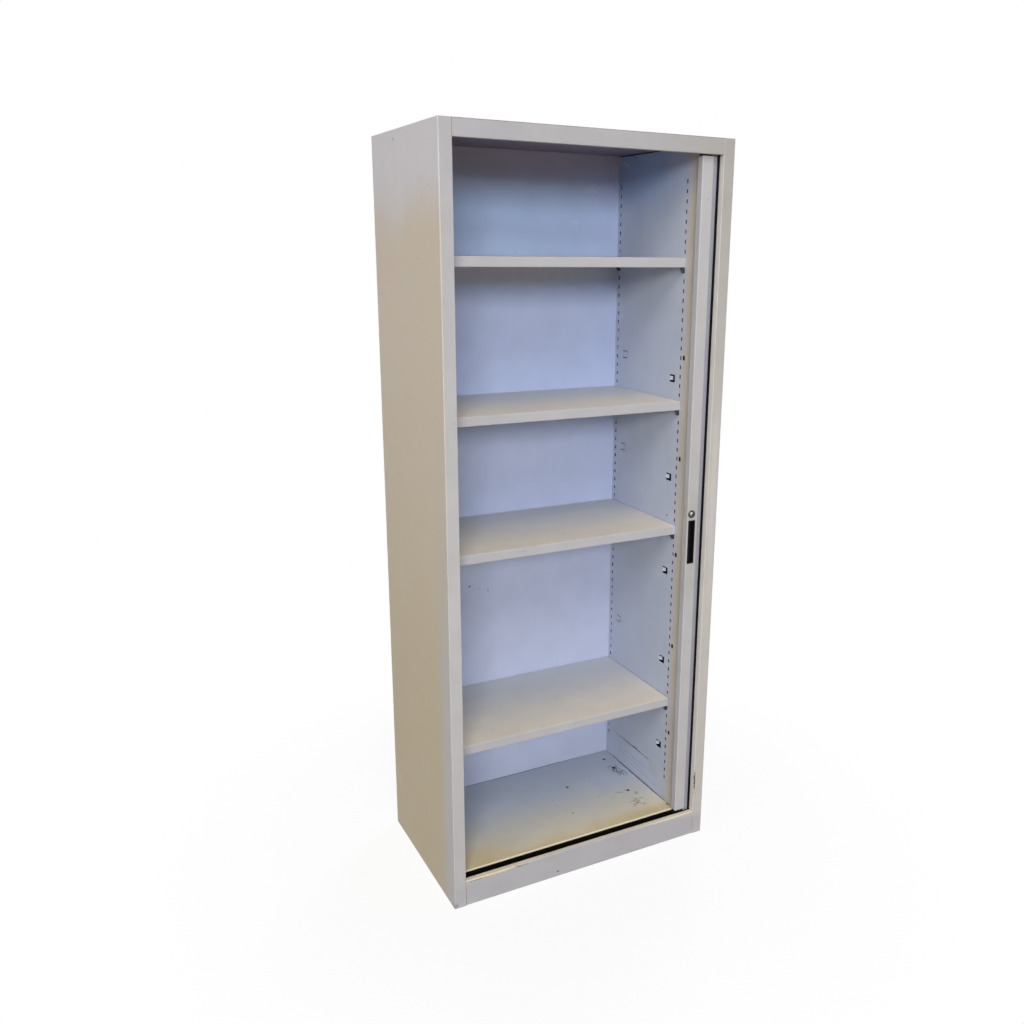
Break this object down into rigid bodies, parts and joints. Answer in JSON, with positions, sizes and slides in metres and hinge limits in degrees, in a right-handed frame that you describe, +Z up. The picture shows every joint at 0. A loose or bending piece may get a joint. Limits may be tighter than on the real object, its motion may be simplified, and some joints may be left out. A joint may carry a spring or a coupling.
{
  "type": "roll front cabinet",
  "caption": "Tall steel cupboard with a sideways tambour door on tracks, open, with fixed shelves, slotted inner sides, flush pull, cam lock and levelling feet.",
  "frame": {"origin": "centre of the base on the floor, midway between the sides and between front and back", "axes": "+X to the right seen from the front, +Y towards the back, +Z up; the front faces -Y"},
  "size_m": [0.8, 0.47, 1.98],
  "materials": {
    "carcass_paint": "light grey stove enamel, satin, lightly yellowed",
    "inner_back_paint": "blue-grey stove enamel, satin",
    "liner_paint": "cool grey stove enamel, satin",
    "shelf_paint": "light grey stove enamel, satin, scuffed and stained",
    "curtain_paint": "grey stove enamel, satin",
    "black_enamel": "black enamel, matt",
    "black_rubber": "matt black extruded strip",
    "zinc_plate": "bright zinc plate",
    "nickel_plate": "nickel plate, polished",
    "black_plastic": "black moulded plastic, satin",
    "shoe_plastic": "dark moulded nylon"
  },
  "bodies": {
    "case": {"side_panel_left": "carcass_paint", "side_panel_right": "carcass_paint", "top_panel": "carcass_paint", "top_rail": "carcass_paint", "plinth_front": "carcass_paint", "back_panel": "carcass_paint", "floor_panel": "shelf_paint", "ceiling_panel": "inner_back_paint", "inner_back_panel": "inner_back_paint", "side_liner_left": "liner_paint", "side_liner_right": "liner_paint", "liner_post_left": "carcass_paint", "liner_post_right": "carcass_paint", "shelf_1": "shelf_paint", "shelf_2": "shelf_paint", "shelf_3": "shelf_paint", "shelf_4": "shelf_paint", "shelf_clips": "zinc_plate", "track_lower": "black_enamel", "track_upper": "black_enamel", "curtain_seal_strip": "black_rubber", "strike_plate": "zinc_plate", "strike_rivets": "zinc_plate", "foot_rail_left": "carcass_paint", "foot_rail_right": "carcass_paint"},
    "lead": {"lead_stile": "carcass_paint", "lead_step": "curtain_paint", "guide_shoes": "shoe_plastic", "pull_cup": "black_plastic", "lock_barrel": "nickel_plate", "lock_nut": "zinc_plate"},
    "lock": {"lock_plug": "nickel_plate", "lock_cam": "zinc_plate", "cam_screw": "zinc_plate"},
    "slat_01": {"slat_01": "curtain_paint"},
    "slat_02": {"slat_02": "curtain_paint"},
    "slat_03": {"slat_03": "curtain_paint"},
    "slat_04": {"slat_04": "curtain_paint"},
    "slat_05": {"slat_05": "curtain_paint"},
    "slat_06": {"slat_06": "curtain_paint"},
    "slat_07": {"slat_07": "curtain_paint"},
    "slat_08": {"slat_08": "curtain_paint"},
    "slat_09": {"slat_09": "curtain_paint"},
    "slat_10": {"slat_10": "curtain_paint"},
    "slat_11": {"slat_11": "curtain_paint"},
    "slat_12": {"slat_12": "curtain_paint"},
    "slat_13": {"slat_13": "curtain_paint"},
    "slat_14": {"slat_14": "curtain_paint"},
    "slat_15": {"slat_15": "curtain_paint"},
    "slat_16": {"slat_16": "curtain_paint"},
    "slat_17": {"slat_17": "curtain_paint"},
    "slat_18": {"slat_18": "curtain_paint"},
    "slat_19": {"slat_19": "curtain_paint"},
    "slat_20": {"slat_20": "curtain_paint"},
    "slat_21": {"slat_21": "curtain_paint"},
    "slat_22": {"slat_22": "curtain_paint"},
    "foot_front_left": {"foot_front_left": "zinc_plate"},
    "foot_rear_left": {"foot_rear_left": "zinc_plate"},
    "foot_front_right": {"foot_front_right": "zinc_plate"},
    "foot_rear_right": {"foot_rear_right": "zinc_plate"}
  },
  "joints": [
    {"name": "door_slide", "type": "slide", "parent": "case", "child": "lead", "axis": [-1, 0, 0], "range_m": [0, 0.6784]},
    {"name": "slat_01_slide", "type": "slide", "parent": "case", "child": "slat_01", "axis": [-1, 0, 0], "range_m": [0, 0.649]},
    {"name": "slat_02_slide", "type": "slide", "parent": "case", "child": "slat_02", "axis": [-1, 0, 0], "range_m": [0, 0.6195]},
    {"name": "slat_03_slide", "type": "slide", "parent": "case", "child": "slat_03", "axis": [-1, 0, 0], "range_m": [0, 0.59]},
    {"name": "slat_04_slide", "type": "slide", "parent": "case", "child": "slat_04", "axis": [-1, 0, 0], "range_m": [0, 0.5605]},
    {"name": "slat_05_slide", "type": "slide", "parent": "case", "child": "slat_05", "axis": [-1, 0, 0], "range_m": [0, 0.531]},
    {"name": "slat_06_slide", "type": "slide", "parent": "case", "child": "slat_06", "axis": [-1, 0, 0], "range_m": [0, 0.5015]},
    {"name": "slat_07_slide", "type": "slide", "parent": "case", "child": "slat_07", "axis": [-1, 0, 0], "range_m": [0, 0.472]},
    {"name": "slat_08_slide", "type": "slide", "parent": "case", "child": "slat_08", "axis": [-1, 0, 0], "range_m": [0, 0.4425]},
    {"name": "slat_09_slide", "type": "slide", "parent": "case", "child": "slat_09", "axis": [-1, 0, 0], "range_m": [0, 0.413]},
    {"name": "slat_10_slide", "type": "slide", "parent": "case", "child": "slat_10", "axis": [-1, 0, 0], "range_m": [0, 0.3835]},
    {"name": "slat_11_slide", "type": "slide", "parent": "case", "child": "slat_11", "axis": [-1, 0, 0], "range_m": [0, 0.354]},
    {"name": "slat_12_slide", "type": "slide", "parent": "case", "child": "slat_12", "axis": [-1, 0, 0], "range_m": [0, 0.3245]},
    {"name": "slat_13_slide", "type": "slide", "parent": "case", "child": "slat_13", "axis": [-1, 0, 0], "range_m": [0, 0.295]},
    {"name": "slat_14_slide", "type": "slide", "parent": "case", "child": "slat_14", "axis": [-1, 0, 0], "range_m": [0, 0.2655]},
    {"name": "slat_15_slide", "type": "slide", "parent": "case", "child": "slat_15", "axis": [-1, 0, 0], "range_m": [0, 0.236]},
    {"name": "slat_16_slide", "type": "slide", "parent": "case", "child": "slat_16", "axis": [-1, 0, 0], "range_m": [0, 0.2065]},
    {"name": "slat_17_slide", "type": "slide", "parent": "case", "child": "slat_17", "axis": [-1, 0, 0], "range_m": [0, 0.177]},
    {"name": "slat_18_slide", "type": "slide", "parent": "case", "child": "slat_18", "axis": [-1, 0, 0], "range_m": [0, 0.1475]},
    {"name": "slat_19_slide", "type": "slide", "parent": "case", "child": "slat_19", "axis": [-1, 0, 0], "range_m": [0, 0.118]},
    {"name": "slat_20_slide", "type": "slide", "parent": "case", "child": "slat_20", "axis": [-1, 0, 0], "range_m": [0, 0.0885]},
    {"name": "slat_21_slide", "type": "slide", "parent": "case", "child": "slat_21", "axis": [-1, 0, 0], "range_m": [0, 0.0591]},
    {"name": "slat_22_slide", "type": "slide", "parent": "case", "child": "slat_22", "axis": [-1, 0, 0], "range_m": [0, 0.0296]},
    {"name": "lock_turn", "type": "hinge", "parent": "lead", "child": "lock", "pos_m": [0.326, -0.2017, 1.003], "axis": [0, -1, 0], "range_deg": [0, 90]},
    {"name": "foot_front_left_wind", "type": "slide", "parent": "case", "child": "foot_front_left", "axis": [0, 0, -1], "range_m": [0, 0.015]},
    {"name": "foot_rear_left_wind", "type": "slide", "parent": "case", "child": "foot_rear_left", "axis": [0, 0, -1], "range_m": [0, 0.015]},
    {"name": "foot_front_right_wind", "type": "slide", "parent": "case", "child": "foot_front_right", "axis": [0, 0, -1], "range_m": [0, 0.015]},
    {"name": "foot_rear_right_wind", "type": "slide", "parent": "case", "child": "foot_rear_right", "axis": [0, 0, -1], "range_m": [0, 0.015]}
  ],
  "couplings": [
    {"joint": "slat_01_slide", "follows": "door_slide", "ratio": 0.95652},
    {"joint": "slat_02_slide", "follows": "door_slide", "ratio": 0.91304},
    {"joint": "slat_03_slide", "follows": "door_slide", "ratio": 0.86957},
    {"joint": "slat_04_slide", "follows": "door_slide", "ratio": 0.82609},
    {"joint": "slat_05_slide", "follows": "door_slide", "ratio": 0.78261},
    {"joint": "slat_06_slide", "follows": "door_slide", "ratio": 0.73913},
    {"joint": "slat_07_slide", "follows": "door_slide", "ratio": 0.69565},
    {"joint": "slat_08_slide", "follows": "door_slide", "ratio": 0.65217},
    {"joint": "slat_09_slide", "follows": "door_slide", "ratio": 0.6087},
    {"joint": "slat_10_slide", "follows": "door_slide", "ratio": 0.56522},
    {"joint": "slat_11_slide", "follows": "door_slide", "ratio": 0.52174},
    {"joint": "slat_12_slide", "follows": "door_slide", "ratio": 0.47826},
    {"joint": "slat_13_slide", "follows": "door_slide", "ratio": 0.43478},
    {"joint": "slat_14_slide", "follows": "door_slide", "ratio": 0.3913},
    {"joint": "slat_15_slide", "follows": "door_slide", "ratio": 0.34783},
    {"joint": "slat_16_slide", "follows": "door_slide", "ratio": 0.30435},
    {"joint": "slat_17_slide", "follows": "door_slide", "ratio": 0.26087},
    {"joint": "slat_18_slide", "follows": "door_slide", "ratio": 0.21739},
    {"joint": "slat_19_slide", "follows": "door_slide", "ratio": 0.17391},
    {"joint": "slat_20_slide", "follows": "door_slide", "ratio": 0.13043},
    {"joint": "slat_21_slide", "follows": "door_slide", "ratio": 0.086957},
    {"joint": "slat_22_slide", "follows": "door_slide", "ratio": 0.043478}
  ]
}
